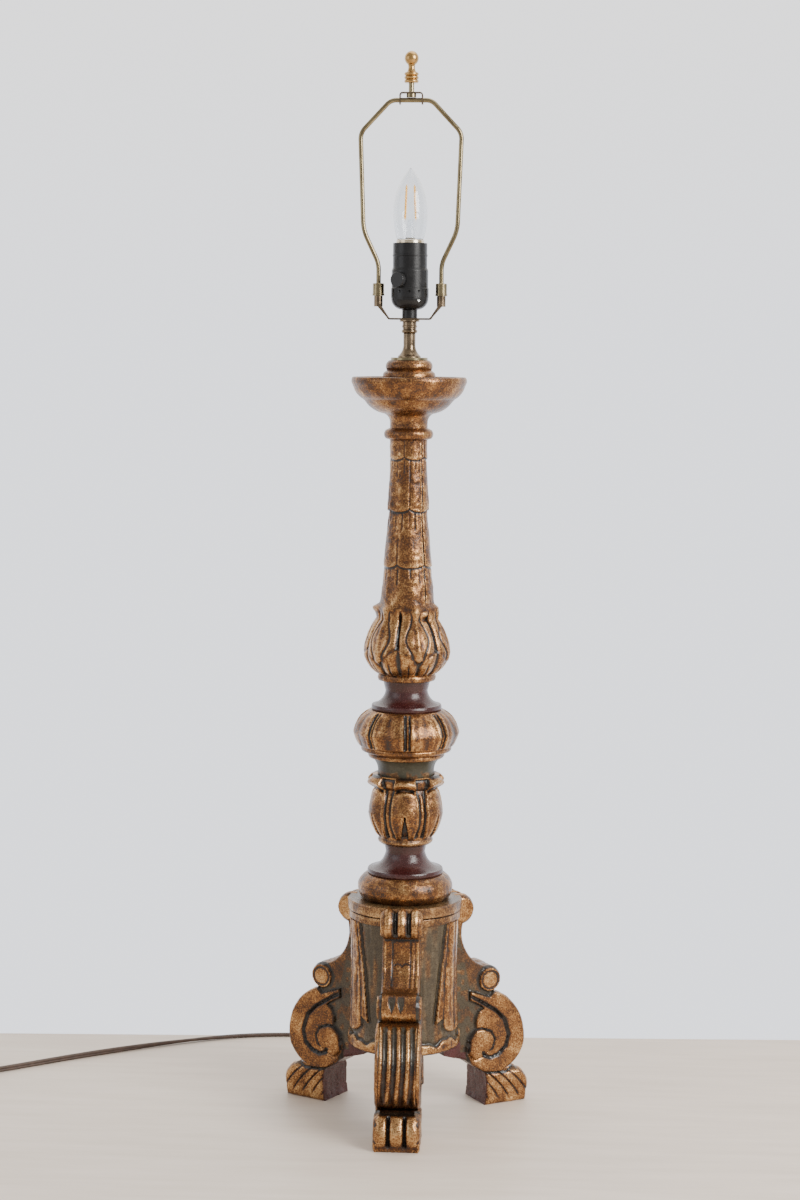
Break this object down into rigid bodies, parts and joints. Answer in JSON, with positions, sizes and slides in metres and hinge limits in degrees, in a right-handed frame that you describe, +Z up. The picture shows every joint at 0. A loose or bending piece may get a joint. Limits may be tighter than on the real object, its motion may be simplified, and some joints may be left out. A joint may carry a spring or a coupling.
{
  "type": "altar candlestick table lamp",
  "caption": "Tall carved and gilded candlestick on three scroll legs, with a drip pan, fitted as a table lamp with a socket, candle bulb, harp, finial and flat cord.",
  "frame": {"origin": "middle of the candlestick's own box, without the free cord, on the surface that it stands on; the stem axis is at x = 0, y = +23.4 mm", "axes": "+Z up the stem, -Y towards the front leg, +X to the right seen from the front"},
  "size_m": [0.6953, 0.409, 1.1147],
  "materials": {
    "gilt_wood": "worn gold leaf over red-brown ground on carved wood",
    "bare_wood": "plain turned dowel",
    "red_wood": "dark red painted wood, half gloss",
    "green_wood": "dark grey-green painted wood, worn",
    "antique_brass": "olive antique brass",
    "polished_brass": "polished lacquered brass",
    "bronze": "dark bronzed brass",
    "zinc_steel": "zinc plated",
    "black_moulding": "satin black moulding",
    "pale_brass": "pale nickelled brass",
    "clear_glass": "clear blown glass",
    "amber_filament": "amber coated filament",
    "brown_cord": "brown flexible twin cord",
    "black_tie": "black rubbered tie"
  },
  "bodies": {
    "candlestick": {"plinth_body": "gilt_wood", "plinth_cap": "gilt_wood", "leg_front": "gilt_wood", "leg_left": "gilt_wood", "leg_right": "gilt_wood", "base_torus": "gilt_wood", "leaf_cup": "gilt_wood", "lobed_knop": "gilt_wood", "leaf_shaft": "gilt_wood", "drip_pan": "gilt_wood", "pan_dome": "gilt_wood", "leg_dowels": "bare_wood", "lower_neck": "red_wood", "upper_neck": "red_wood", "green_cove": "green_wood", "check_ring": "antique_brass", "harp_saddle": "bronze", "saddle_washer": "bronze", "brass_neck": "bronze", "neck_collar": "bronze", "lamp_pipe": "zinc_steel", "pipe_washer": "zinc_steel", "pipe_nut": "zinc_steel", "set_screw": "zinc_steel", "terminal_screws": "zinc_steel", "plug_blades": "zinc_steel", "socket_cap": "black_moulding", "socket_body": "black_moulding", "socket_sleeve": "black_moulding", "switch_block": "black_moulding", "socket_insulator": "black_moulding", "cord_bushing": "black_moulding", "screw_shell": "pale_brass", "centre_contact": "pale_brass", "inner_lead": "brown_cord", "cord_run": "brown_cord", "cord_tail": "brown_cord", "cord_coil": "brown_cord", "plug_body": "brown_cord", "cord_tie": "black_tie"},
    "harp": {"harp_wire": "antique_brass", "harp_bracket": "antique_brass"},
    "stud": {"shade_stud": "antique_brass"},
    "finial": {"finial": "polished_brass"},
    "left_ferrule": {"ferrule_left": "antique_brass"},
    "right_ferrule": {"ferrule_right": "antique_brass"},
    "bulb": {"bulb_glass": "clear_glass", "bulb_base": "pale_brass", "bulb_contact": "pale_brass", "bulb_insulator": "black_moulding", "bulb_stem": "clear_glass", "bulb_filaments": "amber_filament"},
    "switch": {"switch_knob": "black_moulding", "switch_shaft": "zinc_steel"}
  },
  "joints": [
    {"name": "harp_lift", "type": "slide", "parent": "candlestick", "child": "harp", "axis": [0, 0, 1], "range_m": [0, 0.03]},
    {"name": "left_ferrule_lift", "type": "slide", "parent": "harp", "child": "left_ferrule", "axis": [0, 0, 1], "range_m": [0, 0.012]},
    {"name": "right_ferrule_lift", "type": "slide", "parent": "harp", "child": "right_ferrule", "axis": [0, 0, 1], "range_m": [0, 0.012]},
    {"name": "stud_swivel", "type": "hinge", "parent": "harp", "child": "stud", "pos_m": [0, 0.0234, 1.07], "axis": [0, 0, 1], "continuous": true},
    {"name": "finial_unscrew", "type": "slide", "parent": "stud", "child": "finial", "axis": [0, 0, 1], "range_m": [0, 0.014]},
    {"name": "bulb_unscrew", "type": "slide", "parent": "candlestick", "child": "bulb", "axis": [0, 0, 1], "range_m": [0, 0.03]},
    {"name": "switch_turn", "type": "hinge", "parent": "candlestick", "child": "switch", "pos_m": [0, 0.0234, 0.882], "axis": [-0.4848, -0.8746, 0], "continuous": true}
  ]
}
